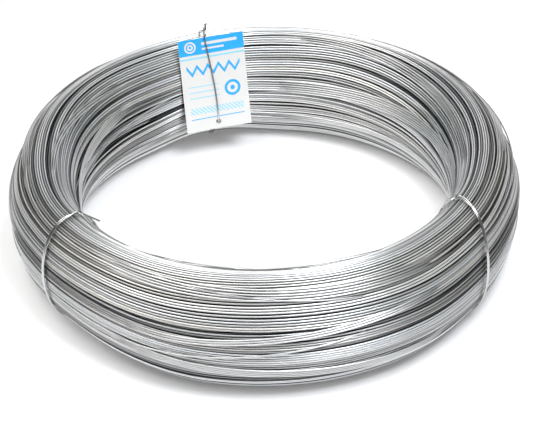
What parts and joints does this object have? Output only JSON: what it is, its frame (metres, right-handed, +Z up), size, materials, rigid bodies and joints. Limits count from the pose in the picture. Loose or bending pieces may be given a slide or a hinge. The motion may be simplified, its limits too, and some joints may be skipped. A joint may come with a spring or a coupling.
{
  "type": "coil of galvanised wire",
  "caption": "Flat-lying coil of bright galvanised wire, a thick ring of close turns with an open bore, bound by twisted wire ties, with a card tag on its inner wall.",
  "frame": {"origin": "on the coil's axis, at the floor that the coil lies on", "axes": "+Z up along the coil's axis, -Y towards the side that the picture looks from, +X to its right"},
  "size_m": [0.4866, 0.4864, 0.1458],
  "materials": {
    "galvanised_wire": "bright drawn zinc, satin",
    "tie_wire": "soft galvanised, satin",
    "tag_card": "coated card, printed, semi-matt"
  },
  "bodies": {
    "root": {"wire_coil": "galvanised_wire", "left_tie": "tie_wire", "right_tie": "tie_wire", "rear_tie": "tie_wire", "card_tag": "tag_card"}
  },
  "joints": []
}
